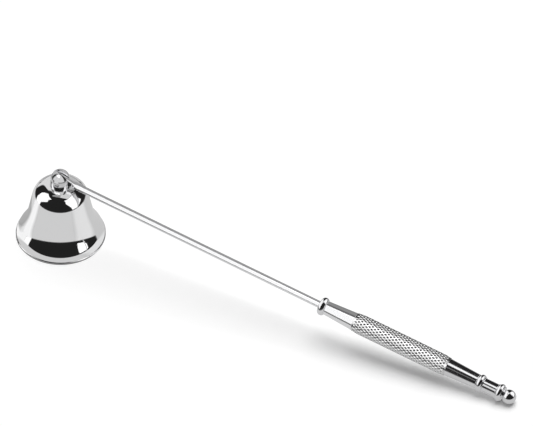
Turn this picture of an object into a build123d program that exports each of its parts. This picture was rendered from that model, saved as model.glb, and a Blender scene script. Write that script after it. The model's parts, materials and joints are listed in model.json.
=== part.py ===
from build123d import *

import os
from math import asin, cos, degrees, sin, sqrt

# Candle snuffer: a polished bell stands on its rim, a slotted post is screwed to its crown, and the
# flattened eye of a thin rod turns on a rivet in the post. The rod runs on through a stack of turned
# handle pieces, which the ball at the tail clamps together.
# Millimetres. Z is up from the table, X runs from the bell to the ball, and the origin is the middle
# of the footprint.

# Bell
bell_height = 28.3
rim_radius = 19.0
bell_wall = 0.9
# Corners of the bell's outline, before they are rounded: shares of the rim's radius and of the height
crown_corner_shares = (0.358, 1.0)
shoulder_corner_shares = (0.597, 0.873)
waist_corner_shares = (0.763, 0.318)
skirt_corner_shares = (0.947, 0.117)
# Rounding of the same corners, shares of the rim's radius
crown_round_share = 0.37
shoulder_round_share = 0.34
waist_round_share = 1.05
skirt_round_share = 0.42
# Bead round the rim: it stands out a little from the skirt
lip_height = 1.0
lip_proud = 0.1
lip_top_round = 0.45
lip_edge_round = 0.2

# Post on the crown, with a round top about the pivot and a stud below
post_radius = 4.1
pivot_rise = 3.9
stud_radius = 1.5
stud_end_chamfer = 0.25
foot_chamfer = 0.2
slot_side_clearance = 0.15
slot_floor_clearance = 0.6
seat_clearance = 0.03

# Washer and nut inside the crown
washer_radius = 3.5
washer_thickness = 0.5
nut_across_flats = 5.5
nut_thickness = 2.4
nut_corner_chamfer = 0.3
stud_beyond_nut = 0.3

# Rivet through the post and the rod's eye
rivet_radius = 0.8
rivet_head_radius = 1.6
rivet_head_height = 0.7
rivet_running_clearance = 0.05
spot_face_depth = 0.4

# Rod
rod_radius = 1.5
rod_length = 124.5
eye_radius = 2.5
tongue_thickness = 1.6
tongue_length = 5.4
tongue_taper = 2.6
tie_radius = 1.2
rod_socket_depth = 1.5
tie_end_clearance = 0.4

# Handle pieces from the rod to the ball: lengths along the rod, and radii
collar_length = 3.0
collar_radius = 3.95
collar_face_radius = 2.9
neck_length = 13.6
neck_front_radius = 3.0
neck_rear_radius = 3.8
grip_length = 44.2
grip_radius = 4.25
grip_end_chamfer = 0.5
tail_length = 14.2
tail_front_radius = 3.75
tail_rear_radius = 3.1
ring_length = 3.0
ring_radius = 3.75
ring_step_length = 0.4
ring_step_radius = 3.15
spacer_length = 6.2
spacer_radius = 2.85
joint_chamfer = 0.15
ball_radius = 3.05
ball_neck_length = 0.25
ball_neck_radius = 1.9
ball_bore_depth = 3.4

overrun = 1.0

# Where each piece starts, measured along the rod from the pivot
collar_start = rod_length
neck_start = collar_start + collar_length
grip_start = neck_start + neck_length
tail_start = grip_start + grip_length
front_ring_start = tail_start + tail_length
spacer_start = front_ring_start + ring_length
rear_ring_start = spacer_start + spacer_length
ball_start = rear_ring_start + ring_length
ball_centre = ball_start + ball_neck_length + sqrt(ball_radius**2 - ball_neck_radius**2)

# The handle slopes down until the ball touches the table
pivot_height = bell_height + pivot_rise
pitch = asin((pivot_height - ball_radius) / ball_centre)
reach = ball_centre * cos(pitch) + ball_radius
bell_x = (rim_radius - reach) / 2

rod_direction = Vector(cos(pitch), 0, -sin(pitch))
pivot = Vector(bell_x, 0, pivot_height)
# Local x runs along the rod and local y is up, or across, from its axis
rod_side = Plane(origin=pivot, x_dir=rod_direction, z_dir=(0, -1, 0))
rod_top = Plane(origin=pivot, x_dir=rod_direction, z_dir=(sin(pitch), 0, cos(pitch)))
rod_axis = Axis(pivot, rod_direction)
bell_axis = Axis((bell_x, 0, 0), (0, 0, 1))
bell_side = Plane(origin=(bell_x, 0, 0), x_dir=(1, 0, 0), z_dir=(0, -1, 0))


def across_rod(distance):
    """The plane square to the rod, at a distance from the pivot."""
    return Plane(origin=pivot + rod_direction * distance, x_dir=(0, 1, 0), z_dir=rod_direction)


def finish(builder, name):
    """Label a finished piece and write it."""
    builder.part.label = name
    export_step(builder.part, f"parts/{name}.step")


os.makedirs("parts", exist_ok=True)

# Bell: a solid of the outer shape, hollowed from below, with a bead round its rim
bell_outline = [(0, bell_height)]
for radius_share, height_share in (
    crown_corner_shares,
    shoulder_corner_shares,
    waist_corner_shares,
    skirt_corner_shares,
):
    bell_outline.append((rim_radius * radius_share, bell_height * height_share))
bell_outline.append((rim_radius - lip_proud, 0))
bell_rounds = [
    rim_radius * share
    for share in (crown_round_share, shoulder_round_share, waist_round_share, skirt_round_share)
]

with BuildPart() as bell:
    with BuildSketch(bell_side):
        with BuildLine():
            outer = FilletPolyline(*bell_outline, radius=bell_rounds)
            Polyline(outer @ 1, (0, 0), outer @ 0)
        make_face()
    revolve(axis=bell_axis)
    offset(amount=-bell_wall, openings=bell.faces().sort_by(Axis.Z)[0])
    with BuildSketch(bell_side) as lip:
        with Locations((rim_radius, 0)):
            Rectangle(lip_proud + bell_wall / 2, lip_height, align=(Align.MAX, Align.MIN))
        outer_corners = lip.vertices().group_by(Axis.X)[-1].sort_by(Axis.Z)
        fillet(outer_corners[-1], radius=lip_top_round)
        fillet(outer_corners[0], radius=lip_edge_round)
    revolve(axis=bell_axis)
    fillet(bell.edges().group_by(Axis.Z)[0].sort_by(SortBy.RADIUS)[0], radius=lip_edge_round)
    with Locations((bell_x, 0, bell_height)):
        Hole(radius=stud_radius + seat_clearance, depth=bell_wall + overrun)
finish(bell, "bell")

# Slotted post: turned foot, domed top about the pivot, and the stud that goes through the crown
washer_top = bell_height - bell_wall
nut_top = washer_top - washer_thickness
nut_bottom = nut_top - nut_thickness
stud_bottom = nut_bottom - stud_beyond_nut
slot_width = tongue_thickness + slot_side_clearance * 2
slot_floor = pivot_height - eye_radius - slot_floor_clearance
rivet_seat = post_radius - spot_face_depth

with BuildPart() as pivot_post:
    with BuildSketch(bell_side):
        with BuildLine():
            stud = Polyline(
                (0, stud_bottom),
                (stud_radius - stud_end_chamfer, stud_bottom),
                (stud_radius, stud_bottom + stud_end_chamfer),
                (stud_radius, bell_height),
                (post_radius - foot_chamfer, bell_height),
                (post_radius, bell_height + foot_chamfer),
                (post_radius, pivot_height),
            )
            dome = CenterArc((0, pivot_height), post_radius, 0, 90)
            Line(dome @ 1, stud @ 0)
        make_face()
    revolve(axis=bell_axis)
    with BuildSketch(Plane(origin=(bell_x, 0, slot_floor))):
        Rectangle(post_radius * 2 + overrun, slot_width)
    extrude(amount=pivot_height + post_radius + overrun - slot_floor, mode=Mode.SUBTRACT)
    with BuildSketch(Plane(origin=pivot, x_dir=(1, 0, 0), z_dir=(0, -1, 0))):
        Circle(rivet_radius)
    extrude(amount=post_radius + overrun, both=True, mode=Mode.SUBTRACT)
    for side in (1, -1):
        spot_plane = Plane(origin=pivot + Vector(0, side * rivet_seat, 0), x_dir=(1, 0, 0), z_dir=(0, side, 0))
        with BuildSketch(spot_plane):
            Circle(rivet_head_radius + seat_clearance)
        extrude(amount=spot_face_depth + overrun, mode=Mode.SUBTRACT)
finish(pivot_post, "pivot_post")

with BuildPart() as crown_washer:
    with BuildSketch(Plane(origin=(bell_x, 0, nut_top))):
        Circle(washer_radius)
        Circle(stud_radius + seat_clearance, mode=Mode.SUBTRACT)
    extrude(amount=washer_thickness)
finish(crown_washer, "crown_washer")

with BuildPart() as crown_nut:
    with BuildSketch(Plane(origin=(bell_x, 0, nut_bottom))):
        RegularPolygon(nut_across_flats / 2, side_count=6, major_radius=False)
        Circle(stud_radius + seat_clearance, mode=Mode.SUBTRACT)
    extrude(amount=nut_thickness)
    chamfer(crown_nut.faces().sort_by(Axis.Z)[0].outer_wire().edges(), length=nut_corner_chamfer)
finish(crown_nut, "crown_nut")

# Rivet: its two domed heads sit on the spot faces of the post's cheeks
head_dome_radius = (rivet_head_radius**2 + rivet_head_height**2) / (rivet_head_height * 2)
with BuildPart() as pivot_rivet:
    with BuildSketch(Plane(origin=pivot, x_dir=(1, 0, 0), z_dir=(0, 0, 1))):
        with BuildLine():
            shank = Polyline((0, 0), (rivet_radius, 0), (rivet_radius, rivet_seat), (rivet_head_radius, rivet_seat))
            head = RadiusArc(shank @ 1, (0, rivet_seat + rivet_head_height), -head_dome_radius)
            Line(head @ 1, shank @ 0)
        make_face()
    revolve(axis=Axis(pivot, (0, 1, 0)))
    mirror(about=Plane.XZ)
finish(pivot_rivet, "pivot_rivet")

# Rod: flattened eye, taper, round shank, and the thinner tie that the handle pieces thread over
shank_end = collar_start + rod_socket_depth
tie_end = ball_start + ball_bore_depth - tie_end_clearance
half_tongue = tongue_thickness / 2
with BuildPart() as snuffer_rod:
    with BuildSketch(rod_side):
        Circle(eye_radius)
        with Locations((tongue_length, 0)):
            Circle(rod_radius)
        make_hull()
    extrude(amount=half_tongue, both=True)
    with BuildSketch(across_rod(tongue_length)):
        Circle(rod_radius)
    extrude(amount=shank_end - tongue_length)
    with BuildSketch(rod_top):
        with BuildLine():
            Polyline(
                (0, half_tongue),
                (tongue_length, half_tongue),
                (tongue_length + tongue_taper, rod_radius),
                (tongue_length + tongue_taper, rod_radius + overrun),
                (0, rod_radius + overrun),
                close=True,
            )
        make_face()
        mirror(about=Plane.XZ)
    extrude(amount=eye_radius + overrun, both=True, mode=Mode.SUBTRACT)
    with BuildSketch(across_rod(shank_end)):
        Circle(tie_radius)
    extrude(amount=tie_end - shank_end)
    with BuildSketch(rod_side):
        Circle(rivet_radius + rivet_running_clearance)
    extrude(amount=tongue_thickness, both=True, mode=Mode.SUBTRACT)
finish(snuffer_rod, "snuffer_rod")

# Handle pieces: each is turned about the rod's axis and bored for the tie
tie_bore = tie_radius + seat_clearance

with BuildPart() as front_collar:
    with BuildSketch(rod_side):
        with BuildLine():
            bead = ThreePointArc(
                (collar_start, collar_face_radius),
                (collar_start + collar_length / 2, collar_radius),
                (neck_start, collar_face_radius),
            )
            Polyline(
                bead @ 1,
                (neck_start, tie_bore),
                (shank_end, tie_bore),
                (shank_end, rod_radius + seat_clearance),
                (collar_start, rod_radius + seat_clearance),
                bead @ 0,
            )
        make_face()
    revolve(axis=rod_axis)
finish(front_collar, "front_collar")


def turned_sleeve(start, length, front_radius, rear_radius, edge):
    """A bored cylinder or cone with its outer edges chamfered."""
    end = start + length
    with BuildPart() as sleeve:
        with BuildSketch(rod_side):
            with BuildLine():
                Polyline(
                    (start, tie_bore),
                    (start, front_radius - edge),
                    (start + edge, front_radius),
                    (end - edge, rear_radius),
                    (end, rear_radius - edge),
                    (end, tie_bore),
                    close=True,
                )
            make_face()
        revolve(axis=rod_axis)
    return sleeve


grip_neck = turned_sleeve(neck_start, neck_length, neck_front_radius, neck_rear_radius, joint_chamfer)
finish(grip_neck, "grip_neck")

knurled_grip = turned_sleeve(grip_start, grip_length, grip_radius, grip_radius, grip_end_chamfer)
finish(knurled_grip, "knurled_grip")

tail_cone = turned_sleeve(tail_start, tail_length, tail_front_radius, tail_rear_radius, joint_chamfer)
finish(tail_cone, "tail_cone")

tail_spacer = turned_sleeve(spacer_start, spacer_length, spacer_radius, spacer_radius, joint_chamfer)
finish(tail_spacer, "tail_spacer")

for ring_name, ring_start in (("front_tail_ring", front_ring_start), ("rear_tail_ring", rear_ring_start)):
    ring_end = ring_start + ring_length
    with BuildPart() as tail_ring:
        with BuildSketch(rod_side):
            with BuildLine():
                crest = ThreePointArc(
                    (ring_start + ring_step_length, ring_step_radius),
                    ((ring_start + ring_end) / 2, ring_radius),
                    (ring_end - ring_step_length, ring_step_radius),
                )
                Polyline(
                    crest @ 1,
                    (ring_end, ring_step_radius),
                    (ring_end, tie_bore),
                    (ring_start, tie_bore),
                    (ring_start, ring_step_radius),
                    crest @ 0,
                )
            make_face()
        revolve(axis=rod_axis)
    finish(tail_ring, ring_name)

with BuildPart() as ball_finial:
    with BuildSketch(rod_side):
        with BuildLine():
            neck_end = (ball_start + ball_neck_length, ball_neck_radius)
            tip = (ball_centre + ball_radius, 0)
            ball = ThreePointArc(neck_end, (ball_centre, ball_radius), tip)
            Polyline(
                ball @ 1,
                (ball_start + ball_bore_depth, 0),
                (ball_start + ball_bore_depth, tie_bore),
                (ball_start, tie_bore),
                (ball_start, ball_neck_radius),
                ball @ 0,
            )
        make_face()
    revolve(axis=rod_axis)
finish(ball_finial, "ball_finial")

print(f"pitch {degrees(pitch):.2f} degrees, bell axis at x {bell_x:.5f}, pivot at z {pivot_height:.3f}")
print(f"ball centre {ball_centre:.2f} along the rod, overall length {reach + rim_radius:.2f}")
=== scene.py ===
"""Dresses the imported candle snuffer: turned and plated surfaces, a diamond knurl, and a pale stage."""

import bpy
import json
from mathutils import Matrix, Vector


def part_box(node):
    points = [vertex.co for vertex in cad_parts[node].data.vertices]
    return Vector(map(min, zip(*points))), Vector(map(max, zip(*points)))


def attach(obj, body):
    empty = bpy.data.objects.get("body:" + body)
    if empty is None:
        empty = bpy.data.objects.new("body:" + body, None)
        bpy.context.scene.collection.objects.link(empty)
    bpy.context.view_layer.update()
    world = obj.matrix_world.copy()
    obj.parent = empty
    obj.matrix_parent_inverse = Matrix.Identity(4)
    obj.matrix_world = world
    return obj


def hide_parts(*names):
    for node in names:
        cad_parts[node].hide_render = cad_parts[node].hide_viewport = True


bl_info = {
    "name": "Candle Snuffer",
    "version": (1, 0, 0),
    "blender": (4, 5, 0),
    "location": "3D View > Sidebar > Snuffer",
    "description": "Makes the plated surfaces of a candle snuffer around its packed solids",
    "category": "Object",
}

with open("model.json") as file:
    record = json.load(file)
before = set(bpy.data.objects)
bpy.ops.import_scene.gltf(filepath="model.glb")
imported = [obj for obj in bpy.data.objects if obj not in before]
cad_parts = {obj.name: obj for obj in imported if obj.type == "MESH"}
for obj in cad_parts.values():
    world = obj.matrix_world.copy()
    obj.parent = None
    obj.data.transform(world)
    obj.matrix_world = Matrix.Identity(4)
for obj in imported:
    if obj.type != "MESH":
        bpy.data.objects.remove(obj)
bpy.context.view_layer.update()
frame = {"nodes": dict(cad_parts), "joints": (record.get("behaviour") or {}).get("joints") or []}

import json
import math
from contextlib import contextmanager

import bmesh
import bpy
import numpy as np
from bpy.props import FloatProperty, FloatVectorProperty, IntProperty, PointerProperty
from bpy.types import Material, Operator, Panel, PropertyGroup
from mathutils import Matrix, Vector

MM = 0.001
TOUCHING = 0.0001 * MM  # points nearer than this are one point
SLIVER = 0.001 * MM  # edges that a cut leaves below this length are closed
MERGING = 0.004 * MM  # points of neighbouring diamonds nearer than this are joined
PHOTO_SIZE = (533, 426)  # the picture's width and height in pixels
AHEAD, ACROSS, UP = Vector((1, 0, 0)), Vector((0, 1, 0)), Vector((0, 0, 1))
WHITE = (1.0, 1.0, 1.0, 1.0)


# Places and sizes read from the frame

PIVOT = Vector(frame["joints"][0]["pos_m"])
ball_low, ball_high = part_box("ball_finial")
BALL_RADIUS = (ball_high.y - ball_low.y) / 2
BALL_CENTRE = Vector((ball_high.x - BALL_RADIUS, PIVOT.y, ball_low.z + BALL_RADIUS))
ROD_DIRECTION = (BALL_CENTRE - PIVOT).normalized()
ROD_UP = Vector((-ROD_DIRECTION.z, 0, ROD_DIRECTION.x))

bell_low, bell_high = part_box("bell")
BELL_HEIGHT = bell_high.z
RIM_RADIUS = (bell_high.x - bell_low.x) / 2
BELL_FOOT = Vector((PIVOT.x, PIVOT.y, 0))
BELL_TOP = Vector((PIVOT.x, PIVOT.y, BELL_HEIGHT))

post_low, post_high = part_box("pivot_post")
POST_RADIUS = (post_high.x - post_low.x) / 2
rivet_low, rivet_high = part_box("pivot_rivet")
RIVET_RADIUS = (rivet_high.z - rivet_low.z) / 2


def rod_span(node):
    """Where a node starts and ends along the rod from the pivot, and its radius about the rod."""
    points = [vertex.co - PIVOT for vertex in frame["nodes"][node].data.vertices]
    along = [point.dot(ROD_DIRECTION) for point in points]
    radii = [(point - ROD_DIRECTION * distance).length for point, distance in zip(points, along)]
    return min(along), max(along), max(radii)


# Settings that a user would change


def number(name, description, default, **rules):
    """A number."""
    return FloatProperty(name=name, description=description, default=default, **rules)


def numbers(name, description, default, **rules):
    """Numbers that belong together."""
    size = len(default)
    return FloatVectorProperty(name=name, description=description, default=default, size=size, **rules)


def count(name, description, default, least):
    """A whole number."""
    return IntProperty(name=name, description=description, default=default, min=least)


def length(name, description, millimetres):
    """A length, given in millimetres and kept in metres."""
    return number(name, description, millimetres * MM, min=0.0, unit="LENGTH", precision=5)


def share(name, description, default):
    """A share of another size, or a strength."""
    return number(name, description, default, min=0.0)


def angle(name, description, degrees):
    """An angle, given in degrees and kept in radians."""
    return number(name, description, math.radians(degrees), unit="ROTATION")


def colour(name, description, default):
    """A plain colour."""
    return numbers(name, description, default, min=0.0, max=1.0, subtype="COLOR")


def corner(name, sides, default):
    """A corner of the bell's outline: shares of the rim's radius and of the bell's height."""
    return numbers(name + " corner", "Corner between " + sides, default)


def rounding(name, default):
    """The rounding of such a corner."""
    return share(name + " rounding", "Rounding of the corner, as a share of the rim's radius", default)


class SNUFFER_PG_bell(PropertyGroup):
    """Sizes of the bell"""

    wall: length("Wall", "Thickness of the bell's wall", 0.9)
    hole_radius: length("Hole radius", "Radius of the hole in the crown", 1.53)
    crown: corner("Crown", "the flat top and the dome", (0.358, 1.0))
    shoulder: corner("Shoulder", "the dome and the waist", (0.597, 0.873))
    waist: corner("Waist", "the waist and the skirt", (0.763, 0.318))
    skirt: corner("Skirt", "the skirt and the lip", (0.947, 0.117))
    crown_round: rounding("Crown", 0.37)
    shoulder_round: rounding("Shoulder", 0.34)
    waist_round: rounding("Waist", 1.05)
    skirt_round: rounding("Skirt", 0.42)
    lip_height: length("Lip height", "Height of the bead round the rim", 1.0)
    lip_proud: length("Lip step", "How far the bead stands out of the skirt's end", 0.1)
    lip_top_round: length("Lip top rounding", "Rounding of the bead's upper edge", 0.45)
    lip_edge_round: length("Lip edge rounding", "Rounding of the rim's lower edges", 0.2)


class SNUFFER_PG_post(PropertyGroup):
    """Sizes of the slotted post and its rivet"""

    stud_radius: length("Stud radius", "Radius of the stud through the crown", 1.5)
    foot_round: length("Foot rounding", "Rounding of the post's lower edge", 0.2)
    slot_width: length("Slot width", "Width of the slot for the rod", 1.9)
    slot_depth: length("Slot depth", "Depth of the slot's floor below the pivot", 3.1)
    pin_radius: length("Pin radius", "Radius of the rivet's shank", 0.8)
    head_height: length("Head height", "Height of the rivet's domed heads", 0.7)
    head_clearance: length("Head clearance", "Gap round the rivet's head", 0.03)


class SNUFFER_PG_rod(PropertyGroup):
    """Sizes of the rod"""

    radius: length("Radius", "Radius of the round rod", 1.5)
    eye_radius: length("Eye radius", "Radius of the flattened eye", 2.5)
    tongue_thickness: length("Tongue thickness", "Thickness of the flattened end", 1.6)
    tongue_length: length("Tongue length", "From the pivot to the end of the flat", 5.4)
    tongue_taper: length("Taper", "Length over which the flat becomes round", 2.6)
    running_clearance: length("Clearance", "Clearance round the rivet in the eye", 0.05)
    tie_radius: length("Tie radius", "Radius of the thinner length inside the handle", 1.2)
    socket_depth: length("Socket depth", "How far the full rod goes into the bead", 1.5)
    flatness: share("Flatness", "Power of the flattened section's outline", 6.0)


class SNUFFER_PG_handle(PropertyGroup):
    """Sizes of the turned handle pieces"""

    bore_radius: length("Bore radius", "Radius of the bore for the rod's tie", 1.23)
    rod_bore_radius: length("Rod bore radius", "Radius of the bead's bore for the rod", 1.53)
    bead_face_radius: length("Bead face radius", "Radius of the bead's flat ends", 2.9)
    neck_front_radius: length("Neck front radius", "Radius of the neck beside the bead", 3.0)
    tail_rear_radius: length("Tail rear radius", "Radius of the tail cone's thin end", 3.1)
    ring_step_radius: length("Ring step radius", "Radius of the steps beside a ring's crest", 3.15)
    ring_step_length: length("Ring step length", "Length of the steps beside a ring's crest", 0.4)
    ball_neck_radius: length("Ball neck radius", "Radius of the ball's neck", 1.9)
    ball_bore_depth: length("Ball bore depth", "Depth of the bore in the ball", 3.4)
    edge_round: length("Edge rounding", "Rounding of the turned edges", 0.15)


class SNUFFER_PG_knurl(PropertyGroup):
    """Sizes of the diamond knurl, each of which is also an input of its tree"""

    rows: count("Rows", "Half-offset rows of pits along the grip", 36, 3)
    columns: count("Columns", "Pits round the grip in each row", 18, 6)
    pit_depth: length("Pit depth", "Depth of the pits below the ridges", 0.42)
    pit_floor: share("Pit floor", "Width of a pit's flat floor, as a share of the diamond", 0.1)
    end_fade: length("End fade", "Length over which the pits deepen from each end", 1.6)
    end_length: length("End length", "Length over which the grip swells from each end", 3.4)
    end_fall: length("End fall", "How much thinner the grip is at its two ends", 0.3)
    end_round: length("End rounding", "Rounding of the grip's two ends", 0.15)


class SNUFFER_PG_finish(PropertyGroup):
    """Colours and roughness of the finishes, and the painted shade of the knurl's pits"""

    chrome_colour: colour("Chrome", "Colour of the plating", (0.9, 0.9, 0.905))
    chrome_roughness: share("Chrome roughness", "Roughness of the polished plating", 0.035)
    # painted shade: this near-black colour stands in for the shade down in the knurl's pits
    pit_shade_colour: colour("Pit", "Colour at the bottom of the knurl's pits", (0.04, 0.038, 0.036))
    steel_colour: colour("Steel", "Colour of the zinc-plated steel", (0.62, 0.62, 0.63))
    steel_roughness: share("Steel roughness", "Roughness of the zinc-plated steel", 0.34)
    inside_roughness: share("Inside roughness", "Roughness that the bell's spun inside adds", 0.16)
    pit_roughness: share("Pit roughness", "Roughness at the bottom of the knurl's pits", 0.2)
    ridge_polish: share("Ridge polish", "How much less rough the knurl's ridges are", 0.12)


class SNUFFER_PG_stage(PropertyGroup):
    """The camera, lamp, cards and floor"""

    azimuth: angle("Azimuth", "Direction of the camera about the vertical", 28.1)
    elevation: angle("Elevation", "Height of the camera above the floor", 44.5)
    lens: number("Lens", "Focal length of the camera", 1300.0, unit="CAMERA")
    sensor: number("Sensor", "Width of the camera's sensor", 36.0, unit="CAMERA")
    pivot_pixel: numbers("Pivot pixel", "Where the pivot lies in the picture", (60.2, 178.5))
    scale: share("Scale", "Pixels for each millimetre at the pivot", 2.388)
    floor_seen: share("Floor", "Brightness of the floor as the camera sees it", 0.97)
    floor_glow: share("Floor glow", "Light added to the floor for the camera", 0.07)
    floor_mirrored: share("Mirrored floor", "Brightness of the floor as the metal mirrors it", 0.12)
    floor_reach: length("Floor reach", "From the middle of the floor to its sides", 4000.0)
    ambient: share("Ambient", "Light from all round", 0.28)
    key_tilt: angle("Key tilt", "Tilt of the main lamp away from the camera", 21.0)
    key_turn: angle("Key turn", "Turn of the main lamp about the vertical", 25.0)
    key_angle: angle("Key angle", "Width of the main lamp as seen from the object", 52.0)
    key_strength: share("Key strength", "Strength of the main lamp", 2.37)
    dome_radius: length("Dome radius", "Radius of the dark dome that the metal mirrors", 620.0)
    dome_dark: share("Dome", "Brightness of the dark dome", 0.016)
    card_radius: length("Card radius", "Distance of the cards from the pieces that mirror them", 300.0)
    pool_step: length("Pool step", "Height between the light pools above the floor", 0.08)


class SNUFFER_PG_settings(PropertyGroup):
    """All settings of the snuffer"""

    bell: PointerProperty(type=SNUFFER_PG_bell)
    post: PointerProperty(type=SNUFFER_PG_post)
    rod: PointerProperty(type=SNUFFER_PG_rod)
    handle: PointerProperty(type=SNUFFER_PG_handle)
    knurl: PointerProperty(type=SNUFFER_PG_knurl)
    finish: PointerProperty(type=SNUFFER_PG_finish)
    stage: PointerProperty(type=SNUFFER_PG_stage)


def setting_names(group):
    """The names of a group's own settings."""
    return [name for name in group.bl_rna.properties.keys() if name not in ("rna_type", "name")]


# Half sections: runs of (start, its normal, end, its normal), as distance along an axis and radius.
# The solid lies on the right of the way that a section is drawn.

ARC_STEP = math.radians(3)
ARC_STEPS_LEAST = 4  # and how many runs even a short arc has
LEG_STEPS = 3  # how many runs a straight leg between two rounded corners has


def clamp(value, low=0.0, high=1.0):
    """The value, kept within a range."""
    return max(low, min(high, value))


def left_of(direction):
    """The unit vector on the left of a direction."""
    return Vector((-direction.y, direction.x)).normalized()


def straight(start, end, steps=1):
    """A straight line in equal runs."""
    start, end = Vector(start), Vector(end)
    normal = left_of(end - start)
    points = [start.lerp(end, k / steps) for k in range(steps + 1)]
    return [(a, normal, b, normal) for a, b in zip(points, points[1:])]


def legs(*points):
    """Straight runs from point to point."""
    return [run for start, end in zip(points, points[1:]) for run in straight(start, end)]


def about(centre, start, end):
    """The shorter arc about a centre."""
    centre, start, end = Vector(centre), Vector(start), Vector(end)
    radius = (start - centre).length
    first = math.atan2(start.y - centre.y, start.x - centre.x)
    turn = (math.atan2(end.y - centre.y, end.x - centre.x) - first + math.pi) % math.tau - math.pi
    steps = max(ARC_STEPS_LEAST, math.ceil(abs(turn) / ARC_STEP))
    side = -1 if turn > 0 else 1
    turns = [first + turn * k / steps for k in range(steps + 1)]
    spokes = [Vector((math.cos(t), math.sin(t))) for t in turns]
    return [
        (centre + a * radius, a * side, centre + b * radius, b * side)
        for a, b in zip(spokes, spokes[1:])
    ]


def through(start, middle, end):
    """The arc through three points."""
    start, middle, end = Vector(start), Vector(middle), Vector(end)
    a, b = middle - start, end - start
    offset = Vector((b.y * a.length_squared - a.y * b.length_squared,
                     a.x * b.length_squared - b.x * a.length_squared))
    centre = start + offset / (2 * (a.x * b.y - a.y * b.x))
    return about(centre, start, middle) + about(centre, middle, end)


def rounded(points, rounds):
    """A line through corners, each with its rounding."""
    points = [Vector(point) for point in points]
    runs, here = [], points[0]
    for before, point, after, radius in zip(points, points[1:], points[2:], rounds):
        back, ahead = (before - point).normalized(), (after - point).normalized()
        half = math.acos(clamp(back.dot(ahead), -1.0)) / 2
        reach = radius / math.tan(half)
        centre = point + (back + ahead).normalized() * (radius / math.sin(half))
        first, last = point + back * reach, point + ahead * reach
        if (here - first).length > TOUCHING:
            runs += straight(here, first, LEG_STEPS)
        runs += about(centre, first, last)
        here = last
    return runs + straight(here, points[-1], LEG_STEPS)


def closed(runs):
    """The same section with its ends joined."""
    return runs + straight(runs[-1][2], runs[0][0])


def bored(outside, bore_radius):
    """A section with a straight bore."""
    start, end = outside[0][0], outside[-1][2]
    return closed(outside + legs(end, (end.x, bore_radius), (start.x, bore_radius)))


# Meshes. The steps say how many sides a full turn of each piece has.

BELL_STEPS, POST_STEPS, HANDLE_STEPS, RIVET_STEPS, ROD_STEPS, HOLE_STEPS = 256, 192, 176, 96, 96, 64


def axis_matrix(origin, axis, up):
    """Places a piece drawn along X, with Z up, on an axis."""
    return Matrix.Translation(origin) @ Matrix((axis, up.cross(axis), up)).transposed().to_4x4()


ON_BELL = axis_matrix(BELL_TOP, -UP, AHEAD)
ON_POST = axis_matrix(PIVOT, UP, AHEAD)
ON_PIN = axis_matrix(PIVOT, ACROSS, UP)
ON_ROD = axis_matrix(PIVOT, ROD_DIRECTION, ROD_UP)


def circle(steps):
    """The cosine and sine of each step of a full turn."""
    return [(math.cos(math.tau * j / steps), math.sin(math.tau * j / steps)) for j in range(steps)]


def new_mesh(name, vertices=(), faces=()):
    """A mesh of points and faces."""
    mesh = bpy.data.meshes.new(name)
    mesh.from_pydata(vertices, [], faces)
    return mesh


@contextmanager
def editing(mesh):
    """Opens a mesh for edits, and writes them back."""
    shape = bmesh.new()
    shape.from_mesh(mesh)
    yield shape
    shape.to_mesh(mesh)
    shape.free()


def faces_between(lines, points, joined=False):
    """Faces between neighbouring lines of points, whose ends may be joined."""
    faces = []
    for first in range(0, (lines - 1) * points, points):
        for j in range(points if joined else points - 1):
            after = (j + 1) % points
            faces.append((first + j, first + after, first + points + after, first + points + j))
    return faces


def turned(name, runs, steps):
    """A mesh of a half section turned about X, with the true normals of the surface."""
    points = [run[0] for run in runs]
    if (runs[-1][2] - runs[0][0]).length > TOUCHING:
        points.append(runs[-1][2])
    turns = circle(steps)
    vertices, rings = [], []
    for point in points:
        ring_size = steps if point.y > TOUCHING else 1
        rings.append([len(vertices) + j % ring_size for j in range(steps)])
        vertices += [(point.x, point.y * c, point.y * s) for c, s in turns[:ring_size]]
    faces, normals = [], []
    for k, (_, first_normal, _, last_normal) in enumerate(runs):
        first, last = rings[k], rings[(k + 1) % len(rings)]
        for j in range(steps):
            after = (j + 1) % steps
            corners = [(first[j], j, first_normal), (first[after], after, first_normal),
                       (last[after], after, last_normal), (last[j], j, last_normal)]
            if first[j] == first[after]:
                corners.pop(1)
            if last[j] == last[after]:
                corners.pop()
            faces.append([index for index, _, _ in corners])
            normals += [(n.x, n.y * turns[i][0], n.y * turns[i][1]) for _, i, n in corners]
    mesh = new_mesh(name, vertices, faces)
    mesh.shade_smooth()
    mesh.normals_split_custom_set(normals)
    return mesh


def mark_inside(mesh, values):
    """Stores a number at each vertex, which the finish reads as "inside"."""
    mesh.attributes.new("inside", "FLOAT", "POINT").data.foreach_set("value", values)


def smooth_below(mesh, degrees):
    """Smooth shading over edges that bend less than this."""
    mesh.shade_smooth()
    mesh.set_sharp_from_angle(angle=math.radians(degrees))


def add_piece(mesh, material, matrix=None):
    """An object at the origin, with its mesh's name, whose place is in its mesh."""
    if matrix:
        mesh.transform(matrix)
    mesh.materials.clear()
    mesh.materials.append(material)
    piece = bpy.data.objects.new(mesh.name, mesh)
    bpy.context.scene.collection.objects.link(piece)
    return piece


def settle(piece):
    """Makes a piece and its modifiers a plain mesh."""
    bpy.context.view_layer.update()
    graph = bpy.context.evaluated_depsgraph_get()
    mesh = bpy.data.meshes.new_from_object(piece.evaluated_get(graph))
    piece.modifiers.clear()
    piece.data = mesh


def cut(piece, cutters):
    """Takes the cutters out of a piece, and closes the slivers that they leave."""
    for cutter in cutters:
        modifier = piece.modifiers.new("cut", "BOOLEAN")
        modifier.operation = "DIFFERENCE"
        modifier.solver = "EXACT"
        modifier.object = cutter
    settle(piece)
    for cutter in cutters:
        bpy.data.objects.remove(cutter)
    with editing(piece.data) as shape:
        bmesh.ops.remove_doubles(shape, verts=shape.verts, dist=SLIVER)
        bmesh.ops.dissolve_degenerate(shape, edges=shape.edges, dist=SLIVER)


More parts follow.
